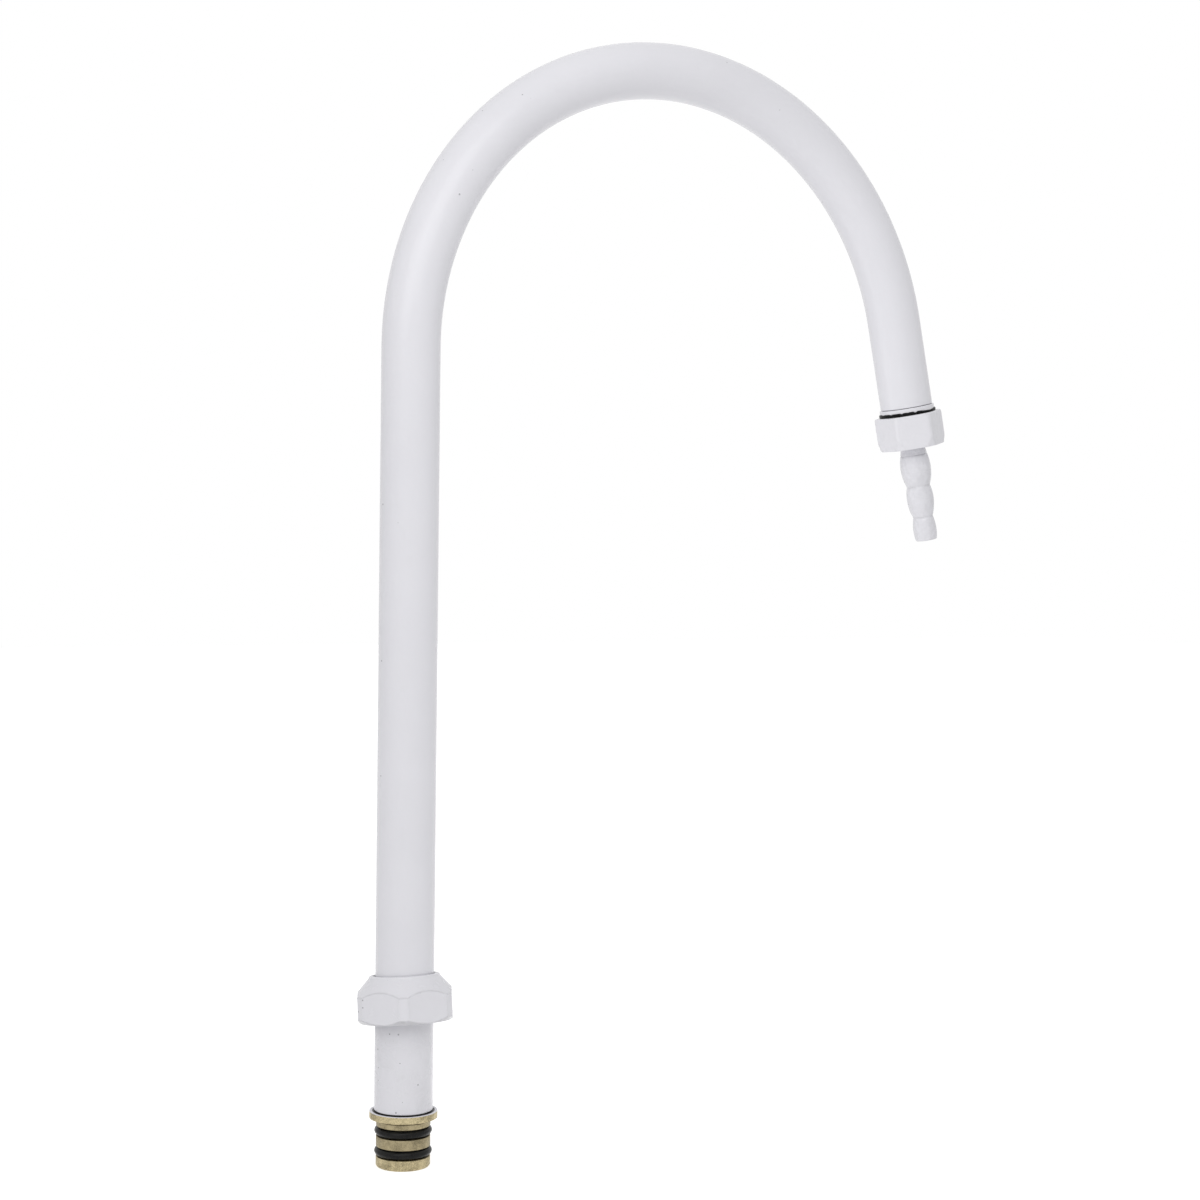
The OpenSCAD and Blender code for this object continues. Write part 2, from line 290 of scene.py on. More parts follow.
# Specks: dust that was baked into the coat, as a mask of small dots, few and far apart.
specks, specks_in, specks_out = new_group("baked_specks", ["Cells", "Share", "Size"], ["Mask"])
cells = texture_at(specks, "TexVoronoi", specks_in.outputs["Cells"], sockets={"Randomness": 1.0})
pick = add_node(specks, "SeparateColor")
specks.links.new(cells.outputs["Color"], pick.inputs["Color"])
chosen = math_of(specks, "LESS_THAN", pick.outputs["Red"], specks_in.outputs["Share"])
reach = math_of(specks, "MULTIPLY", specks_in.outputs["Size"], pick.outputs["Green"])
inside = math_of(specks, "LESS_THAN", cells.outputs["Distance"], reach)
specks.links.new(math_of(specks, "MULTIPLY", chosen, inside), specks_out.inputs["Mask"])

# Smudges: finger marks and rubbed patches, stronger below a given height.
smudge, smudge_in, smudge_out = new_group(
    "handling_smudges", ["Patch Scale", "Full Below", "None Above", "Elsewhere"], ["Mask", "Handled"])
patch = texture_at(smudge, "TexNoise", smudge_in.outputs["Patch Scale"],
                   sockets={"Detail": 4.0, "Roughness": 0.6, "Distortion": 0.8})
near_foot = add_node(smudge, "MapRange", interpolation_type="SMOOTHSTEP", sockets={"To Min": 1.0})
smudge.links.new(place_in(smudge)["Z"], near_foot.inputs["Value"])
for label, limit in (("Full Below", "From Min"), ("None Above", "From Max"), ("Elsewhere", "To Max")):
    smudge.links.new(smudge_in.outputs[label], near_foot.inputs[limit])
handled = near_foot.outputs["Result"]
patches = ramp(smudge, patch.outputs["Fac"], *SMUDGE_RANGE)
smudge.links.new(math_of(smudge, "MULTIPLY", patches, handled), smudge_out.inputs["Mask"])
smudge.links.new(handled, smudge_out.inputs["Handled"])

# Rubbed edges and painted shade: the coat rubs thin along an edge, and is darkened as painted shade in a
# gap, in a crease and under a bevel that faces down. The mesh says where each is.
rub_and_shade, rub_and_shade_in, rub_and_shade_out = new_group("rubbed_edges_and_painted_shade", ["Edge", "Break Scale"], ["Mask"])
breaks = texture_at(rub_and_shade, "TexNoise", rub_and_shade_in.outputs["Break Scale"],
                    sockets={"Detail": 3.0, "Roughness": 0.6})
broken = ramp(rub_and_shade, breaks.outputs["Fac"], *RUB_AND_SHADE_RANGE)
rub_and_shade.links.new(math_of(rub_and_shade, "MULTIPLY", rub_and_shade_in.outputs["Edge"], broken), rub_and_shade_out.inputs["Mask"])


def use_group(tree, group, **values):
    """A group placed in a material with its own values. An underscore stands for a space."""
    node = tree.nodes.new("ShaderNodeGroup")
    node.node_tree = group
    for label, value in values.items():
        feed(tree, value, node.inputs[label.replace("_", " ")])
    return node


def powder_coat(name, white, shade, smudge_foot, smudge_rest, wave_scale, relief, roughness):
    """White powder coat. Smudges and specks are full up to the height smudge_foot, and fade to the
    share smudge_rest at about twice that height. With a foot of 0 that share holds all over."""
    material, tree, coat = new_material(name)
    coat.inputs["IOR"].default_value = 1.5
    coat.inputs["Specular IOR Level"].default_value = 0.32
    clouds = texture_at(tree, "TexNoise", CLOUD_SCALE, sockets={"Detail": 3.0})
    colour = tint(tree, ramp(tree, clouds.outputs["Fac"], *CLOUD_RANGE), white, shade)
    marks = use_group(tree, smudge, Patch_Scale=150.0, Full_Below=smudge_foot * MM,
                      None_Above=(smudge_foot * 2 + SMUDGE_FADE) * MM, Elsewhere=smudge_rest)
    colour = tint(tree, marks.outputs["Mask"], colour, SMUDGE_GREY, SMUDGE_DEPTH)
    # The edge attribute carries rubbing along edges and painted shade in gaps, creases and under a downward
    # bevel, and both are tinted grey here.
    rub_and_shade_attr = add_node(tree, "Attribute", attribute_name="edge")
    edges = use_group(tree, rub_and_shade, Edge=rub_and_shade_attr.outputs["Fac"], Break_Scale=260.0)
    colour = tint(tree, edges.outputs["Mask"], colour, RUB_AND_SHADE_GREY, RUB_AND_SHADE_DEPTH)
    dots = use_group(tree, specks, Cells=420.0, Share=marks.outputs["Handled"], Size=0.14)
    colour = tint(tree, dots.outputs["Mask"], colour, SPECK_GREY, SPECK_DEPTH)
    tree.links.new(colour, coat.inputs["Base Color"])
    roughen(tree, coat, marks.outputs["Mask"], roughness, roughness + SMUDGE_DULLS)
    peeled = use_group(tree, peel, Peel_Scale=620.0, Wave_Scale=wave_scale)
    pitted = math_of(tree, "SUBTRACT", peeled.outputs["Height"], dots.outputs["Mask"])
    emboss(tree, coat, pitted, relief, COAT_RELIEF)
    return material


def add_piece(name, rings, material, body, place=Matrix.Identity(4), edge=None):
    """A closed skin over rings of points in millimetres, whose last ring joins the first one. It
    stands for the CAD node of the same name. Edge gives each point's share of rubbing and of painted shade."""
    rings = np.asarray(rings, float)
    count, sides, _ = rings.shape
    mesh = bpy.data.meshes.new(name)
    faces = [
        (i * sides + j, i * sides + (j + 1) % sides,
         (i + 1) % count * sides + (j + 1) % sides, (i + 1) % count * sides + j)
        for i in range(count) for j in range(sides)
    ]
    mesh.from_pydata((rings.reshape(-1, 3) * MM).tolist(), [], faces)
    skin = bmesh.new()
    skin.from_mesh(mesh)
    bmesh.ops.recalc_face_normals(skin, faces=skin.faces)
    skin.to_mesh(mesh)
    skin.free()
    if edge is not None:
        mesh.attributes.new("edge", "FLOAT", "POINT").data.foreach_set("value", np.ravel(edge))
    mesh.transform(place)
    mesh.polygons.foreach_set("use_smooth", [True] * len(mesh.polygons))
    mesh.materials.append(material)
    piece = bpy.data.objects.new(name + "_dressed", mesh)
    bpy.context.scene.collection.objects.link(piece)
    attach(piece, body)
    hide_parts(name)
    return piece


def full_turn(sides):
    """Angles all round, none of them twice."""
    return np.linspace(0, 2 * math.pi, sides, endpoint=False)


def tube_frame(along):
    """The middle of the tube at a length along it, and the direction out of the bend there."""
    bend_len = BEND_R * BEND_ANGLE
    turn = min(max((along - RISER_LEN) / BEND_R, 0), BEND_ANGLE)
    middle = np.array([BEND_R * (1 - math.cos(turn)), 0, TUBE_Z + RISER_LEN + BEND_R * math.sin(turn)])
    ahead = np.array([math.sin(turn), 0, math.cos(turn)])
    straight = min(along - RISER_LEN, 0) + max(along - RISER_LEN - bend_len, 0)
    return middle + ahead * straight, np.array([-math.cos(turn), 0, math.sin(turn)])


tube_len = RISER_LEN + BEND_R * BEND_ANGLE + DROP_LEN
skin_r = TUBE_OD / 2
bore_r = TUBE_ID / 2
steps = np.concatenate([
    np.linspace(TUBE_LIP + LIP_MARGIN, RISER_LEN, RISER_STEPS),
    RISER_LEN + BEND_R * np.linspace(0, BEND_ANGLE, BEND_STEPS)[1:],
    np.linspace(tube_len - DROP_LEN, tube_len - TUBE_LIP - LIP_MARGIN, DROP_STEPS)[1:],
])
quarter = np.linspace(0, math.pi / 2, LIP_STEPS)
lip_out = [(TUBE_LIP * (1 - math.cos(q)), skin_r - TUBE_LIP * (1 - math.sin(q))) for q in quarter]
lip_in = [(TUBE_LIP * (1 - math.sin(q)), bore_r + TUBE_LIP * (1 - math.cos(q))) for q in quarter]
lower_lip = lip_in + lip_out
outline = lower_lip + [(s, skin_r) for s in steps]
outline += [(tube_len - s, r) for s, r in reversed(lower_lip)]
outline += [(s, bore_r) for s in steps[::-1]]
around = full_turn(TUBE_SIDES)
tube_rings = []
for along, r in outline:
    middle, outward = tube_frame(along)
    tube_rings.append(
        middle + r * (np.outer(np.cos(around), outward) + np.outer(np.sin(around), [0, 1, 0])))
tube_coat = powder_coat("tube_coat", COAT_WHITE, COAT_SHADE, smudge_foot=22.0, smudge_rest=0.04,
                        wave_scale=95.0, relief=0.06, roughness=COAT_ROUGHNESS)
add_piece("spout_tube", tube_rings, tube_coat, "spout")

# Swivel spigot. Turned from a brass bar and brazed into the tube's lower end: a flange, two
# O-ring grooves and a bevelled nose. The tube's coat covers the top of the flange. The rest stays
# bare, and handling has made the brass dull.
SPIGOT_D = 17.6
FLANGE_D = 22.0
FLANGE_T = 2.2
FLANGE_EASE = 0.07
SPIGOT_BORE = 10.4
SPIGOT_BORE_EASE = 0.2
SHANK_D = 16.6
SHANK_TOP = 14.5
SHANK_EASE = 0.3
SHANK_FOOT_EASE = 0.1
GROOVE_FLOOR = 13.4
GROOVE_W = 3.25
GROOVE_LIP_EASE = 0.18
GROOVE_FLOOR_EASE = 0.2
GROOVES_Z = (-4.125, -10.725)
NOSE_Z = -15.75
NOSE_BEVEL = 0.5
NOSE_EASE = 0.12
RELIEF_D = 19.1
RELIEF_H = 0.3
RELIEF_EASE = 0.1
SEAT_EASE = 0.05
LATHE_SIDES = 112
BRASS_LIGHT = (0.54, 0.46, 0.28, 1)
BRASS_DULL = (0.21, 0.18, 0.11, 1)
BRASS_ROUGHNESS = (0.40, 0.62)
GRAIN_RANGE = (0.42, 0.78)
FLECK_SHARE = 0.7
BLOTCH_SHARE = 0.45
TOOL_SHARE = 0.25
OVERSPRAY_END = 2.12
OVERSPRAY_FADE = 0.07
# Painted shade in the crevice round the tube's foot: the flange's white top turns black close round the
# tube.
CREVICE_SHADE_BLACK = (0.016, 0.015, 0.015, 1)
CREVICE_SHADE_R = 9.9
CREVICE_SHADE_FADE = 0.4
# Painted shade under the flange: a brown band that is darkest just below the flange and fades out above the
# nose. Over it lies a darker painted shadow line right under the flange's edge.
SHADE_BAND_BROWN = (0.15, 0.125, 0.08, 1)
SHADE_BAND_DEPTH = 0.45
SHADE_BAND_TOP = -0.2
SHADE_BAND_END = -12.4
SHADE_BAND_FADE = 2.5
SHADOW_LINE_BROWN = (0.045, 0.034, 0.020, 1)
SHADOW_LINE_DEPTH = 0.85
SHADOW_LINE_TOP = -0.35
SHADOW_LINE_END = -0.95
PAINTED_SHADE_FADE = 0.2


def eased(corners, steps=5, edge_share=0.45):
    """A closed side view from corners (radius, height, easing), with each corner rounded off. The
    rounding takes up no more than edge_share of an edge."""
    points = []
    for k, (r, z, ease) in enumerate(corners):
        here = np.array([r, z], float)
        before = np.array(corners[k - 1][:2], float) - here
        after = np.array(corners[(k + 1) % len(corners)][:2], float) - here
        reach = min(ease, edge_share * np.linalg.norm(before), edge_share * np.linalg.norm(after))
        start = here + before / np.linalg.norm(before) * reach
        end = here + after / np.linalg.norm(after) * reach
        for t in np.linspace(0, 1, steps):
            points.append((1 - t) ** 2 * start + 2 * t * (1 - t) * here + t ** 2 * end)
    return points


def guarded(points, gap=0.25):
    """The same side view with extra points beside long edges, so that they shade flat."""
    out = []
    for k, here in enumerate(points):
        after = points[(k + 1) % len(points)]
        length = np.linalg.norm(after - here)
        out.append(here)
        if length > 3 * gap:
            out += [here + (after - here) * share for share in (gap / length, 1 - gap / length)]
    return out


def rings_at(outline, around):
    """Rings of points from radii and heights, each of them one number or one for every angle."""
    return [
        np.stack([r * np.cos(around), r * np.sin(around), np.broadcast_to(z, around.shape)], 1)
        for r, z in outline
    ]


def turned(outline):
    """Rings of a piece turned on a lathe from its side view."""
    return rings_at(outline, full_turn(LATHE_SIDES))


# Grain of dull metal: light and dark flecks at two scales.
grain, grain_in, grain_out = new_group("metal_grain", ["Fine Scale", "Blotch Scale"], ["Mask", "Height"])
flecks = texture_at(grain, "TexNoise", grain_in.outputs["Fine Scale"],
                    sockets={"Detail": 3.0, "Roughness": 0.7})
blotch = texture_at(grain, "TexNoise", grain_in.outputs["Blotch Scale"], sockets={"Detail": 2.0})
both = math_of(grain, "ADD", math_of(grain, "MULTIPLY", flecks.outputs["Fac"], FLECK_SHARE),
               math_of(grain, "MULTIPLY", blotch.outputs["Fac"], BLOTCH_SHARE))
grain.links.new(ramp(grain, both, *GRAIN_RANGE), grain_out.inputs["Mask"])
grain.links.new(flecks.outputs["Fac"], grain_out.inputs["Height"])

# Tool rings: the fine groove that a lathe tool leaves, as rings along the turning axis.
tool, tool_in, tool_out = new_group("tool_rings", ["Rings"], ["Height"])
groove = texture_at(tool, "TexWave", tool_in.outputs["Rings"], wave_type="BANDS", bands_direction="Z",
                    sockets={"Distortion": 0.6, "Detail": 1.0})
tool.links.new(groove.outputs["Fac"], tool_out.inputs["Height"])

brass, tree, metal = new_material("dull_brass")
flecked = use_group(tree, grain, Fine_Scale=2600.0, Blotch_Scale=240.0)
colour = tint(tree, flecked.outputs["Mask"], BRASS_LIGHT, BRASS_DULL)
brass_at = place_in(tree)
# Painted shade on the brass, set by height: the band under the flange, and the painted shadow line under its
# edge.
for brown, depth, band_top, band_end, top_fade, end_fade in (
    (SHADE_BAND_BROWN, SHADE_BAND_DEPTH, SHADE_BAND_TOP, SHADE_BAND_END, PAINTED_SHADE_FADE, SHADE_BAND_FADE),
    (SHADOW_LINE_BROWN, SHADOW_LINE_DEPTH, SHADOW_LINE_TOP, SHADOW_LINE_END, PAINTED_SHADE_FADE, PAINTED_SHADE_FADE),
):
    above = ramp(tree, brass_at["Z"], band_end * MM, (band_end + end_fade) * MM)
    below = ramp(tree, brass_at["Z"], band_top * MM, (band_top - top_fade) * MM)
    colour = tint(tree, math_of(tree, "MULTIPLY", above, below), colour, brown, depth)
overspray = ramp(tree, brass_at["Z"], OVERSPRAY_END * MM, (OVERSPRAY_END + OVERSPRAY_FADE) * MM)
flat_at = add_node(tree, "CombineXYZ")
from_axis = add_node(tree, "VectorMath", operation="LENGTH")
for axis in ("X", "Y"):
    tree.links.new(brass_at[axis], flat_at.inputs[axis])
tree.links.new(flat_at.outputs["Vector"], from_axis.inputs[0])
# Painted shade: the flange's white top is black close round the tube's foot, where the crevice is.
crevice_shade = ramp(tree, from_axis.outputs["Value"], (CREVICE_SHADE_R + CREVICE_SHADE_FADE) * MM, CREVICE_SHADE_R * MM)
flange_top = tint(tree, crevice_shade, COAT_WHITE, CREVICE_SHADE_BLACK)
tree.links.new(tint(tree, overspray, colour, flange_top), metal.inputs["Base Color"])
tree.links.new(math_of(tree, "SUBTRACT", 1.0, overspray), metal.inputs["Metallic"])
roughen(tree, metal, flecked.outputs["Mask"], *BRASS_ROUGHNESS)
lathe = use_group(tree, tool, Rings=900.0)
lathe_marks = math_of(tree, "MULTIPLY", lathe.outputs["Height"], TOOL_SHARE)
emboss(tree, metal, math_of(tree, "ADD", lathe_marks, flecked.outputs["Height"]), strength=0.35, depth=0.12)

side = [(SPIGOT_BORE / 2, NOSE_Z, SPIGOT_BORE_EASE), (SPIGOT_D / 2 - NOSE_BEVEL, NOSE_Z, NOSE_EASE),
        (SPIGOT_D / 2, NOSE_Z + NOSE_BEVEL, NOSE_EASE)]
for groove_z in reversed(GROOVES_Z):
    groove_end = groove_z - GROOVE_W / 2
    groove_top = groove_z + GROOVE_W / 2
    side += [(SPIGOT_D / 2, groove_end, GROOVE_LIP_EASE), (GROOVE_FLOOR / 2, groove_end, GROOVE_FLOOR_EASE),
             (GROOVE_FLOOR / 2, groove_top, GROOVE_FLOOR_EASE), (SPIGOT_D / 2, groove_top, GROOVE_LIP_EASE)]
side += [(SPIGOT_D / 2, RELIEF_H, RELIEF_EASE), (RELIEF_D / 2, RELIEF_H, RELIEF_EASE),
         (RELIEF_D / 2, 0, SEAT_EASE), (FLANGE_D / 2, 0, FLANGE_EASE), (FLANGE_D / 2, FLANGE_T, FLANGE_EASE),
         (SHANK_D / 2, FLANGE_T, SHANK_FOOT_EASE), (SHANK_D / 2, SHANK_TOP, SHANK_EASE),
         (SPIGOT_BORE / 2, SHANK_TOP, SHANK_EASE)]
add_piece("swivel_spigot", turned(guarded(eased(side))), brass, "spout")

# Braze seam at the flange. The silver solder that joins the tube to the spigot, left dark by the
# flame and drawn in between them, so it shows as a thin dark line under the coat's edge.
SEAM_OUT = 17.8
SEAM_IN = 16.7
SEAM_T = 0.3
SEAM_RIM_EASE = 0.02
SEAM_IN_EASE = 0.05
SEAM_HOLLOW_EASE = 0.1
SEAM_STEPS = 4
SEAM_DARK = (0.012, 0.013, 0.016, 1)
SEAM_LIGHT = (0.045, 0.043, 0.040, 1)
SEAM_ROUGHNESS = (0.5, 0.85)

braze, tree, solder = new_material("burnt_braze")
solder.inputs["Metallic"].default_value = 0.4
solder.inputs["Specular IOR Level"].default_value = 0.1
crust = use_group(tree, grain, Fine_Scale=3200.0, Blotch_Scale=420.0)
tree.links.new(tint(tree, crust.outputs["Mask"], SEAM_LIGHT, SEAM_DARK), solder.inputs["Base Color"])
roughen(tree, solder, crust.outputs["Mask"], *SEAM_ROUGHNESS)
emboss(tree, solder, crust.outputs["Height"], strength=0.5, depth=0.2)


def seam_side(bottom, thickness):
    """Side view of a seam whose outer edge is drawn in between the two faces that it joins."""
    middle = bottom + thickness / 2
    top = bottom + thickness
    return eased([(SEAM_IN / 2, bottom, SEAM_IN_EASE), (SEAM_OUT / 2, bottom, SEAM_RIM_EASE),
                  (SEAM_OUT / 2 - thickness / 2, middle, SEAM_HOLLOW_EASE),
                  (SEAM_OUT / 2, top, SEAM_RIM_EASE), (SEAM_IN / 2, top, SEAM_IN_EASE)], SEAM_STEPS)


add_piece("spigot_braze_ring", turned(seam_side(FLANGE_T, SEAM_T)), braze, "spout")

# O-rings. Two black nitrile rubber rings, moulded in two halves, so a fine parting line runs
# round the outside. They are rolled into the spigot's grooves with a little silicone grease.
CORD_D = 2.65
CORD_SIDES = 48
RINGS_OD = 18.7
PARTING_LINE = 0.05
PARTING_W = 0.09
RUBBER_BLACK = (0.004, 0.004, 0.005, 1)
RUBBER_DUSTY = (0.014, 0.014, 0.013, 1)
RUBBER_ROUGHNESS = (0.38, 0.18)


def black_rubber(name, black, dusty, shine):
    """Moulded black rubber with a dusty bloom, duller where the bloom lies."""
    material, tree, nitrile = new_material(name)
    nitrile.inputs["Specular IOR Level"].default_value = shine
    bloom = use_group(tree, grain, Fine_Scale=1500.0, Blotch_Scale=260.0)
    tree.links.new(tint(tree, bloom.outputs["Mask"], dusty, black), nitrile.inputs["Base Color"])
    roughen(tree, nitrile, bloom.outputs["Mask"], *RUBBER_ROUGHNESS)
    emboss(tree, nitrile, bloom.outputs["Height"], strength=0.12, depth=0.1)
    return material


def bell(distance, width):
    """1 at distance 0, falling away to nothing within about two widths."""
    return np.exp(-(distance / width) ** 2)


def cord_side(middle_r, z):
    """Round side view of a ring, with the parting line as a low ridge on the outside."""
    points = []
    for q in full_turn(CORD_SIDES):
        off_line = min(q, 2 * math.pi - q)
        r = CORD_D / 2 - PARTING_LINE * (1 - bell(off_line, PARTING_W))
        points.append((middle_r + r * math.cos(q), z + r * math.sin(q)))
    return points


o_ring_rubber = black_rubber("black_nitrile", RUBBER_BLACK, RUBBER_DUSTY, shine=0.12)
for name, groove_z in zip(("upper_o_ring", "lower_o_ring"), GROOVES_Z):
    ring_side = cord_side((RINGS_OD - CORD_D) / 2, groove_z)
    add_piece(name, turned(ring_side), o_ring_rubber, "spout")

# Slip ring. A thin washer of natural acetal under the nut's lip, stamped and left loose, so that
# the nut presses the flange down and the spout still swivels. The nut carries it, askew as it is.
NUT_H = 15.0
NUT_LIFT = 29.0
NUT_LEAN = math.radians(6.5)
NUT_LIP_T = 4.332
FACE_GAP = 0.05
SLIP_T = 2.0
SLIP_ID = 20.05
SLIP_OD = 26.04
SLIP_IN_EASE = 0.2
SLIP_OUT_EASE = 0.3
ACETAL = (0.80, 0.785, 0.72, 1)
ACETAL_DEEP = (0.74, 0.715, 0.635, 1)
ACETAL_ROUGHNESS = (0.38, 0.52)

nut_grip = NUT_LIP_T + FACE_GAP + SLIP_T
nut_pivot_z = FLANGE_T + NUT_LIFT + NUT_H - nut_grip / 2
on_tube = (Matrix.Translation((0, 0, nut_pivot_z * MM)) @ Matrix.Rotation(-NUT_LEAN, 4, "X")
           @ Matrix.Translation((0, 0, (nut_grip / 2 - NUT_H) * MM)))

acetal, tree, plastic = new_material("natural_acetal")
plastic.inputs["Specular IOR Level"].default_value = 0.4
milky = use_group(tree, grain, Fine_Scale=900.0, Blotch_Scale=160.0)
tree.links.new(tint(tree, milky.outputs["Mask"], ACETAL, ACETAL_DEEP), plastic.inputs["Base Color"])
roughen(tree, plastic, milky.outputs["Mask"], *ACETAL_ROUGHNESS)

slip_z = NUT_H - nut_grip
slip_top = slip_z + SLIP_T
slip_side = eased([(SLIP_ID / 2, slip_z, SLIP_IN_EASE), (SLIP_OD / 2, slip_z, SLIP_OUT_EASE),
                   (SLIP_OD / 2, slip_top, SLIP_OUT_EASE), (SLIP_ID / 2, slip_top, SLIP_IN_EASE)])
add_piece("slip_ring", turned(guarded(slip_side)), acetal, "slip_ring", on_tube)

# Union nut. Forged brass hexagon with a long bevel at the top and a short one at the bottom, a
# pipe thread inside, and the same white coat, which softens its edges. It hangs loose and askew.
NUT_AF = 30.0
NUT_CORNER_R = 16.52
NUT_CROWN_R = 10.85
NUT_CROWN_SLOPE = math.radians(48)
NUT_CROWN_EASE = 0.75
NUT_FOOT_R = 14.7
NUT_FOOT_SLOPE = math.radians(40)
NUT_TURN = math.radians(1.5)
NUT_LIP_R = 10.075
NUT_THREAD_R = 13.22
NUT_THREAD_DEPTH = 1.1
NUT_THREAD_START = 0.6
NUT_THREAD_END = 7.6
NUT_PITCH = 1.814
NUT_SOFT = 0.15
NUT_BEAD = 0.1
NUT_SIDES = 360
NUT_STEPS = 72
NUT_FOOT_Z = 0.12
NUT_SIDE_Z = 0.3
# How the foot's edge is drawn in from ring to ring, and the height of each ring.
NUT_FOOT_ROLL = ((0.12, 0.03), (0.22, 0.0))
# How the mouth of the thread widens, and the height of each ring.
NUT_MOUTH = ((0.0, 0.5), (0.25, 0.06), (0.4, 0.0))
LIP_EASE = 0.15
LIP_TOP_EASE = (0.1, 0.03)
LIP_FOOT_EASE = 0.12
LIP_RINGS = 3
# Painted shade in the gap between the nut's lip and the tube.
LIP_GAP_SHADE = 1.8
THREAD_CORNER = 0.3
THREAD_MARGIN = 0.3
THREAD_STEPS = 14
THREAD_RUN_OUT = 0.6
ROLL_STEPS = 6
COAT_BEAD_W = 0.19
EDGE_W = 0.22
UPRIGHT_WEAR = 0.15
# Painted shade on the nut's lower bevel, which faces down.
NUT_UNDER_SHADE = 0.8
NUT_WHITE = (0.785, 0.78, 0.82, 1)
NUT_SHADE = (0.765, 0.76, 0.80, 1)


def softer(a, b, soft, bead_h):
    """The smaller of two distances, blended where they are nearly the same. The coat draws together
    there into a low bead of height bead_h along the edge."""
    near = np.maximum(soft - np.abs(a - b), 0) / soft
    return np.minimum(a, b) - near ** 2 * soft / 4 + bead_h * bell(a - b, COAT_BEAD_W)


def hexagon_side(around, heights, top, flats, turn, corner_r, crown, foot, soft, bead_h, under_shade):
    """Rings up the outside of a bevelled hexagon, and each point's share of rubbing and painted shade:
    rubbing fully along the bevels' edges, and painted shade by under_shade on the lower bevel, which faces
    down. Crown and foot are (radius, slope)."""
    from_flat = np.mod(around - turn, math.pi / 3) - math.pi / 6
    flats_r = flats / 2 / np.cos(from_flat)
    prism_r = softer(flats_r, corner_r, soft, bead_h)
    rings = []
    rub_and_shade_share = []
    for z in heights:
        foot_r = foot[0] + z / math.tan(foot[1])
        cone_r = min(crown[0] + (top - z) / math.tan(crown[1]), foot_r)
        rings.append((softer(prism_r, cone_r, soft, bead_h), z))
        upright = UPRIGHT_WEAR * bell(flats_r - corner_r, EDGE_W) * (prism_r < cone_r)
        # Painted shade on the lower bevel, which faces down.
        under = under_shade * (prism_r > foot_r)
        rub_and_shade_share.append(np.maximum(bell(prism_r - cone_r, EDGE_W), np.maximum(upright, under)))
    return rings, rub_and_shade_share


def rolled_edge(side_r, top, ease):
    """Rings that roll from a side over into the level face above it."""
    return [(side_r - ease * (1 - math.cos(q)), top - ease * (1 - math.sin(q)))
            for q in np.linspace(0, math.pi / 2, ROLL_STEPS)[1:]]


def hump(angle):
    """A smooth wave that is 1 at angle 0, and 0 half a turn away."""
    return 0.5 + 0.5 * np.cos(angle)


around = full_turn(NUT_SIDES)
heights = np.concatenate([[NUT_FOOT_Z], np.linspace(NUT_SIDE_Z, NUT_H - NUT_CROWN_EASE, NUT_STEPS)])
nut, nut_rub_and_shade = hexagon_side(
    around, heights, NUT_H, NUT_AF, NUT_TURN, NUT_CORNER_R, crown=(NUT_CROWN_R, NUT_CROWN_SLOPE),
    foot=(NUT_FOOT_R, NUT_FOOT_SLOPE), soft=NUT_SOFT, bead_h=NUT_BEAD, under_shade=NUT_UNDER_SHADE)
for drawn_in, z in NUT_FOOT_ROLL:
    nut.insert(0, (nut[0][0] - drawn_in, z))
nut += rolled_edge(nut[-1][0], NUT_H, NUT_CROWN_EASE)
lip_start = len(nut)
lip_z = NUT_H - NUT_LIP_T
nut += [(NUT_LIP_R + LIP_TOP_EASE[0], NUT_H - LIP_TOP_EASE[1]), (NUT_LIP_R, NUT_H - LIP_EASE),
        (NUT_LIP_R, lip_z + LIP_EASE), (NUT_LIP_R + LIP_FOOT_EASE, lip_z),
        (NUT_THREAD_R - THREAD_CORNER, lip_z), (NUT_THREAD_R, lip_z - THREAD_CORNER)]
for z in np.arange(NUT_THREAD_END + THREAD_MARGIN, NUT_THREAD_START, -NUT_PITCH / THREAD_STEPS):
    tooth = hump(2 * math.pi * z / NUT_PITCH - around)
    to_end = min(z - NUT_THREAD_START, NUT_THREAD_END - z)
    full = np.clip(to_end / (THREAD_RUN_OUT * NUT_PITCH), 0, 1)
    nut.append((NUT_THREAD_R - NUT_THREAD_DEPTH * full * tooth, z))
nut += [(NUT_THREAD_R + wider, z) for wider, z in NUT_MOUTH]
nut_edge = np.zeros((len(nut), NUT_SIDES))
nut_edge[len(NUT_FOOT_ROLL):len(NUT_FOOT_ROLL) + len(heights)] = nut_rub_and_shade
# Painted shade on the lip, in the gap round the tube.
nut_edge[lip_start:lip_start + LIP_RINGS] = LIP_GAP_SHADE
nut_coat = powder_coat("nut_coat", NUT_WHITE, NUT_SHADE, smudge_foot=0.0, smudge_rest=0.22,
                       wave_scale=150.0, relief=0.2, roughness=COAT_ROUGHNESS)
add_piece("union_nut", rings_at(nut, around), nut_coat, "union_nut", on_tube, nut_edge)

# Outlet bush. Turned brass, brazed into the outlet end and coated with the tube: a thin rim that
# covers the tube's end, and below it a threaded nipple for the collar. The coat has run here and
# there along the rim, most of all on one side, and hangs over the seal.
RIM_TOP = -0.15
RIM_END = -1.55
RIM_R = 10.0
RIM_EASE = 0.28
RIM_STEPS = 6
BUSH_END = -9.35
BUSH_END_EASE = 0.2
BUSH_BORE_R = 5.5
BUSH_SHANK_TOP = 12.0
BUSH_THREAD_R = 8.33
BUSH_THREAD_DEPTH = 0.8
BUSH_NECK = 0.4
BUSH_TIP = 0.3
BUSH_ROOT_EASE = 0.1
BUSH_PITCH = 1.337
OUTLET_SIDES = 160
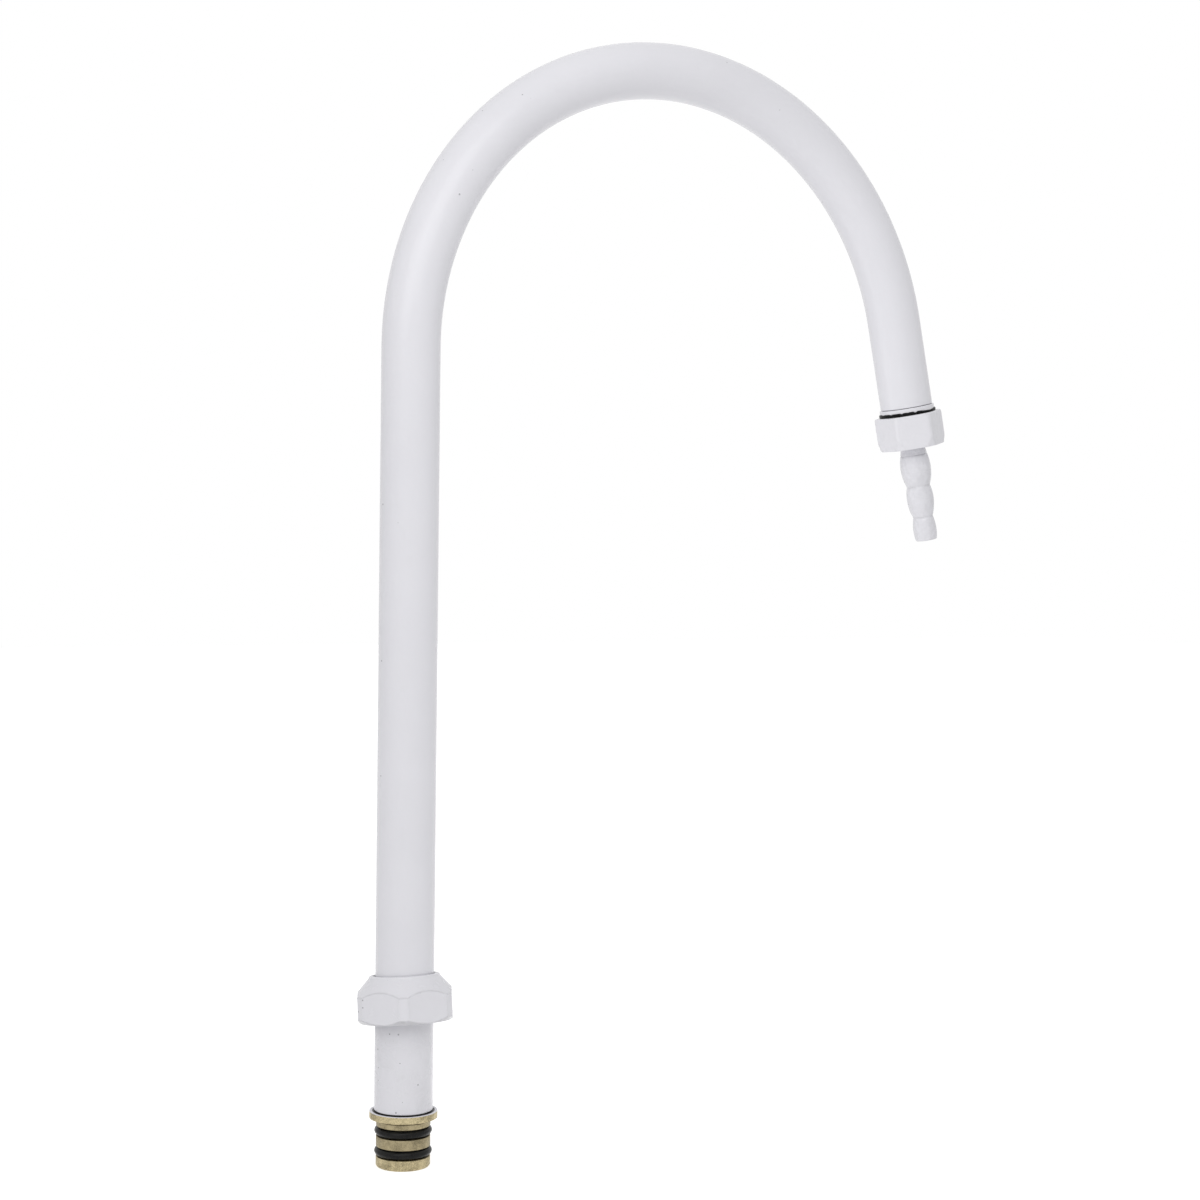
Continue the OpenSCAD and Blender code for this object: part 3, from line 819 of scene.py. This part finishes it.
# Where each run of coat is round the rim and half its width, in degrees, and how far it hangs.
COAT_RUNS = (
    (-75, 38, 0.5),
    (-112, 6, 0.45),
    (-128, 4, 0.16),
    (-141, 5, 0.28),
    (-166, 5, 0.2),
    (-193, 7, 0.15),
)

outlet_middle, _ = tube_frame(tube_len)
at_outlet = Matrix.Translation(outlet_middle * MM) @ Matrix.Rotation(BEND_ANGLE - math.pi, 4, "Y")

around = full_turn(OUTLET_SIDES)
coat_run = np.zeros(OUTLET_SIDES)
for run_at, half_width, hang in COAT_RUNS:
    off_run = np.abs(np.mod(around - math.radians(run_at) + math.pi, 2 * math.pi) - math.pi)
    off_share = np.clip(off_run / math.radians(half_width), 0, 1)
    coat_run = np.maximum(coat_run, hang * hump(math.pi * off_share))
root_r = BUSH_THREAD_R - BUSH_THREAD_DEPTH
bush = []
for r, z in eased([(BUSH_BORE_R, BUSH_SHANK_TOP, SHANK_EASE), (SHANK_D / 2, BUSH_SHANK_TOP, SHANK_EASE),
                   (SHANK_D / 2, RIM_TOP, SEAT_EASE), (RIM_R, RIM_TOP, RIM_EASE),
                   (RIM_R, RIM_END, RIM_EASE), (root_r, RIM_END, BUSH_ROOT_EASE)], RIM_STEPS):
    hangs = min(max((RIM_TOP - z) / (RIM_TOP - RIM_END), 0), 1)
    bush.append((r, z - hangs * coat_run))
for z in np.arange(RIM_END - BUSH_NECK, BUSH_END + BUSH_TIP, -BUSH_PITCH / THREAD_STEPS):
    full = min(1, (z - BUSH_END) / BUSH_PITCH)
    tooth = hump(2 * math.pi * z / BUSH_PITCH - around)
    bush.append((BUSH_THREAD_R - BUSH_THREAD_DEPTH * (1 - full * tooth), z))
bush += [(root_r, BUSH_END + BUSH_END_EASE), (root_r - BUSH_END_EASE, BUSH_END),
         (BUSH_BORE_R + BUSH_END_EASE, BUSH_END), (BUSH_BORE_R, BUSH_END + BUSH_END_EASE)]
add_piece("outlet_bush", rings_at(bush, around), tube_coat, "spout", at_outlet)

# Braze seam at the outlet. The same solder, in a gap so thin that only a shadow line shows where
# the coat bridges the tube's end and the rim.
add_piece("bush_braze_ring", turned(seam_side(RIM_TOP, -RIM_TOP)), braze, "spout", at_outlet)

# Outlet seal. A soft black rubber ring between the rim and the collar, which shows as a black band.
# It is pinched thin where the rim's coat has run, and its edge is a little ragged.
SEAL_T = 1.15
SEAL_IN = 8.53
SEAL_IN_EASE = 0.1
SEAL_OUT = 10.48
SEAL_STEPS = 9
SEAL_RAGGED = 0.08
SEAL_NICKS = (7, 17)
SEAL_NICK_SHIFT = 1
SEAL_BLACK = (0.004, 0.004, 0.004, 1)
SEAL_DUSTY = (0.009, 0.009, 0.009, 1)

nicks = np.sin(around * SEAL_NICKS[0]) * np.sin(around * SEAL_NICKS[1] + SEAL_NICK_SHIFT)
seal_end = RIM_END - SEAL_T
seal = []
for r, z in eased([(SEAL_IN, seal_end, SEAL_IN_EASE), (SEAL_OUT, seal_end, SEAL_T / 2),
                   (SEAL_OUT, RIM_END, SEAL_T / 2), (SEAL_IN, RIM_END, SEAL_IN_EASE)], SEAL_STEPS):
    outer = (r - SEAL_IN) / (SEAL_OUT - SEAL_IN)
    upper = (z - RIM_END) / SEAL_T + 1
    seal.append((r - outer * SEAL_RAGGED * np.abs(nicks), z - upper * coat_run))
seal_rubber = black_rubber("seal_rubber", SEAL_BLACK, SEAL_DUSTY, shine=0.06)
add_piece("outlet_seal", rings_at(seal, around), seal_rubber, "spout", at_outlet)

# Nozzle washer. A flat rubber washer, punched from sheet, between the bush's end and the nozzle's
# flange. It lies inside the collar.
WASHER_TOP = -9.4
WASHER_T = 1.5
WASHER_OUT = 7.27
WASHER_IN_EASE = 0.1
WASHER_OUT_EASE = 0.2

washer_end = WASHER_TOP - WASHER_T
washer_side = eased([(BUSH_BORE_R, washer_end, WASHER_IN_EASE), (WASHER_OUT, washer_end, WASHER_OUT_EASE),
                     (WASHER_OUT, WASHER_TOP, WASHER_OUT_EASE), (BUSH_BORE_R, WASHER_TOP, WASHER_IN_EASE)])
add_piece("nozzle_washer", turned(washer_side), seal_rubber, "nozzle", at_outlet)

# Nozzle collar. A small brass hexagon with the white coat. Its plain bore stands for the thread
# that screws on the bush, and its end is a web with a hole that holds the nozzle by its flange.
COLLAR_H = 12.3
COLLAR_AF = 22.0
COLLAR_CORNER_R = 12.40
COLLAR_CROWN_R = 11.80
COLLAR_CROWN_SLOPE = math.radians(50)
COLLAR_CROWN_EASE = 0.55
COLLAR_FOOT_R = 11.6
COLLAR_FOOT_SLOPE = math.radians(75)
COLLAR_FOOT_EASE = 0.25
COLLAR_TURN = math.radians(28.5)
COLLAR_BORE_R = 8.48
COLLAR_MOUTH = 0.5
COLLAR_HOLE_R = 6.59
COLLAR_HOLE_MOUTH = 0.2
COLLAR_WEB = 2.5
COLLAR_WEB_EASE = 0.3
COLLAR_WEB_EDGE = 0.15
COLLAR_SOFT = 0.3
COLLAR_BEAD = 0.03
COLLAR_WEAR = 0.35
COLLAR_SIDES = 288
COLLAR_STEPS = 52
COLLAR_FOOT_Z = 0.1
COLLAR_SIDE_Z = 0.25

around = full_turn(COLLAR_SIDES)
heights = np.concatenate(
    [[COLLAR_FOOT_Z], np.linspace(COLLAR_SIDE_Z, COLLAR_H - COLLAR_CROWN_EASE, COLLAR_STEPS)])
collar, collar_worn = hexagon_side(
    around, heights, COLLAR_H, COLLAR_AF, COLLAR_TURN, COLLAR_CORNER_R,
    crown=(COLLAR_CROWN_R, COLLAR_CROWN_SLOPE), foot=(COLLAR_FOOT_R, COLLAR_FOOT_SLOPE),
    soft=COLLAR_SOFT, bead_h=COLLAR_BEAD, under_shade=0)
collar.insert(0, (collar[0][0] - COLLAR_FOOT_EASE, 0))
collar += rolled_edge(collar[-1][0], COLLAR_H, COLLAR_CROWN_EASE)
collar += [(COLLAR_BORE_R + COLLAR_MOUTH, COLLAR_H), (COLLAR_BORE_R, COLLAR_H - COLLAR_MOUTH),
           (COLLAR_BORE_R, COLLAR_WEB + COLLAR_WEB_EASE), (COLLAR_BORE_R - COLLAR_WEB_EASE, COLLAR_WEB),
           (COLLAR_HOLE_R + COLLAR_WEB_EDGE, COLLAR_WEB), (COLLAR_HOLE_R, COLLAR_WEB - COLLAR_WEB_EDGE),
           (COLLAR_HOLE_R, COLLAR_HOLE_MOUTH), (COLLAR_HOLE_R + COLLAR_HOLE_MOUTH, 0)]
collar_top = RIM_END - SEAL_T - FACE_GAP
collar_place = at_outlet @ Matrix.Translation((0, 0, (collar_top - COLLAR_H) * MM))
collar_edge = np.zeros((len(collar), COLLAR_SIDES))
collar_edge[1:1 + len(heights)] = COLLAR_WEAR * np.array(collar_worn)
collar_coat = powder_coat("collar_coat", COAT_WHITE, COAT_SHADE, smudge_foot=0.0, smudge_rest=0.12,
                          wave_scale=330.0, relief=0.3, roughness=COAT_ROUGHNESS)
add_piece("nozzle_collar", rings_at(collar, around), collar_coat, "nozzle_collar",
          collar_place, collar_edge)

# Hose nozzle. Turned brass with the white coat: a flange inside the collar, a shoulder, and three
# rounded olives of falling size that a rubber hose is pushed over. The coat lies thick and glossy
# here, and fills the creases.
NOZZLE_FLANGE_R = 7.27
NOZZLE_FLANGE_TOP = -10.9
NOZZLE_FLANGE_EASE = 0.2
NOZZLE_SEAT = -12.5
NOZZLE_SEAT_EASE = 0.15
NOZZLE_BORE_R = 2.473
SHOULDER_R = 6.49
SHOULDER_END = -15.45
SHOULDER_EASE = 0.15
CORNER_EASE = 0.1
NECK_R = 4.43
NECK_END_EASE = 0.12
NECK_GROOVE = 0.3
NECK_GROOVE_W = 0.35
NECK_GROOVE_EASE = 0.08
OLIVES = 3
OLIVES_TOP = -18.05
OLIVE_R = 5.6
OLIVE_STEP = 0.65
OLIVE_DIP = 0.65
OLIVE_LEN = 11.6
LAST_OLIVE_LEN = 8.7
OLIVE_POINTS = 15
TIP_EASE = 0.25
NOZZLE_STEPS = 4
CREASE_W = 0.22
NOZZLE_WHITE = (0.775, 0.77, 0.81, 1)
NOZZLE_SHADE = (0.735, 0.73, 0.77, 1)
NOZZLE_ROUGHNESS = 0.12

# An olive's side is one arc. It rises from the dip before it, and falls to the dip after it.
arc_r = (OLIVE_LEN / (math.sqrt(OLIVE_DIP) + math.sqrt(OLIVE_DIP + OLIVE_STEP))) ** 2 / 2
crest_down = math.sqrt(2 * arc_r * OLIVE_DIP)
neck_end_r = OLIVE_R - OLIVE_DIP
nozzle = [(NOZZLE_BORE_R, NOZZLE_FLANGE_TOP, NOZZLE_FLANGE_EASE),
          (NOZZLE_FLANGE_R, NOZZLE_FLANGE_TOP, NOZZLE_FLANGE_EASE),
          (NOZZLE_FLANGE_R, NOZZLE_SEAT, NOZZLE_SEAT_EASE), (SHOULDER_R, NOZZLE_SEAT, CORNER_EASE),
          (SHOULDER_R, SHOULDER_END, SHOULDER_EASE), (NECK_R, SHOULDER_END, CORNER_EASE),
          (neck_end_r, OLIVES_TOP + NECK_GROOVE_W, NECK_END_EASE),
          (neck_end_r - NECK_GROOVE, OLIVES_TOP + NECK_GROOVE_W / 3, NECK_GROOVE_EASE)]
for k in range(OLIVES):
    length = LAST_OLIVE_LEN if k == OLIVES - 1 else OLIVE_LEN
    for down in np.linspace(0, length, OLIVE_POINTS)[min(k, 1):]:
        sag = arc_r - math.sqrt(arc_r ** 2 - (down - crest_down) ** 2)
        nozzle.append((OLIVE_R - k * OLIVE_STEP - sag, OLIVES_TOP - k * OLIVE_LEN - down, CORNER_EASE))
tip_r, tip_z, _ = nozzle.pop()
nozzle += [(tip_r, tip_z, TIP_EASE), (NOZZLE_BORE_R, tip_z, TIP_EASE)]
nozzle_side = guarded(eased(nozzle, NOZZLE_STEPS))
creases = OLIVES_TOP - OLIVE_LEN * np.arange(OLIVES)
# Painted shade in the creases between the olives, carried by the edge attribute.
crease_shade = [bell(z - creases, CREASE_W).max() for _, z in nozzle_side]
nozzle_coat = powder_coat("nozzle_coat", NOZZLE_WHITE, NOZZLE_SHADE, smudge_foot=0.0, smudge_rest=0.35,
                          wave_scale=330.0, relief=0.8, roughness=NOZZLE_ROUGHNESS)
add_piece("hose_nozzle", turned(nozzle_side), nozzle_coat, "nozzle", at_outlet,
          np.repeat(crease_shade, LATHE_SIDES))
